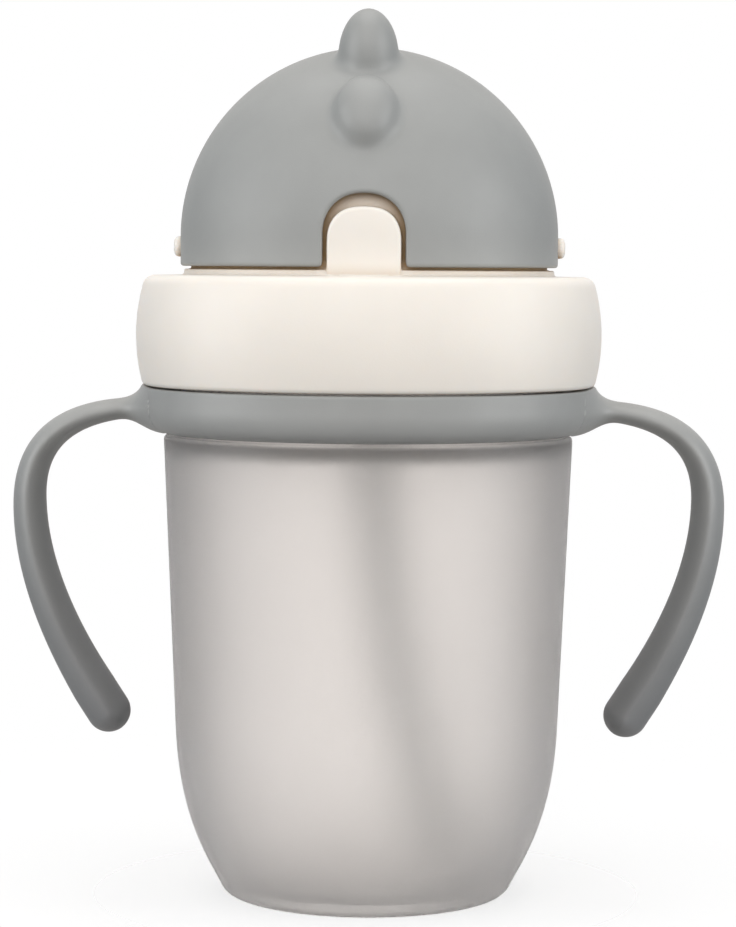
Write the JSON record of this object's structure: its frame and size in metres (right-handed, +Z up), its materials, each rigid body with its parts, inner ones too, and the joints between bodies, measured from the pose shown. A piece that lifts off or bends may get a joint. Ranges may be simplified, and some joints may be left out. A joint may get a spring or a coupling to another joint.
{
  "type": "straw sippy cup",
  "caption": "Frosted toddler straw cup with a two-handle ring, screw lid, flip-back dome cover and a folding silicone mouthpiece.",
  "frame": {"origin": "centre of the cup's foot, on the surface it stands on", "axes": "+Z up along the cup's axis, -Y towards the front with the latch tab, X through the two handles"},
  "size_m": [0.1316, 0.0856, 0.162],
  "materials": {
    "frosted_plastic": "frosted, translucent, slightly smoky",
    "grey_plastic": "fine satin",
    "cream_plastic": "fine satin",
    "silicone": "clear milky silicone"
  },
  "bodies": {
    "cup": {"cup": "frosted_plastic"},
    "handle_ring": {"handle_ring": "grey_plastic"},
    "gasket": {"lid_gasket": "silicone"},
    "lid": {"lid": "cream_plastic", "mouthpiece_base": "silicone", "straw_tube": "silicone", "vent_valve": "silicone"},
    "flip_cover": {"flip_cover": "grey_plastic"},
    "mouthpiece": {"mouthpiece_tip": "silicone"}
  },
  "joints": [
    {"name": "handle_turn", "type": "hinge", "parent": "cup", "child": "handle_ring", "pos_m": [0, 0, 0.0892], "axis": [0, 0, 1], "continuous": true},
    {"name": "lid_lift", "type": "slide", "parent": "cup", "child": "gasket", "axis": [0, 0, 1], "range_m": [0, 0.116]},
    {"name": "lid_turn", "type": "hinge", "parent": "gasket", "child": "lid", "pos_m": [0, 0, 0.1012], "axis": [0, 0, 1], "range_deg": [0, 450]},
    {"name": "cover_flip", "type": "hinge", "parent": "lid", "child": "flip_cover", "pos_m": [0, 0, 0.1195], "axis": [-1, 0, 0], "range_deg": [0, 90]},
    {"name": "mouthpiece_fold", "type": "hinge", "parent": "lid", "child": "mouthpiece", "pos_m": [0, 0.002, 0.1242], "axis": [-1, 0, 0], "range_deg": [0, 60]}
  ],
  "couplings": [
    {"joint": "mouthpiece_fold", "follows": "cover_flip", "ratio": 0.66666}
  ]
}
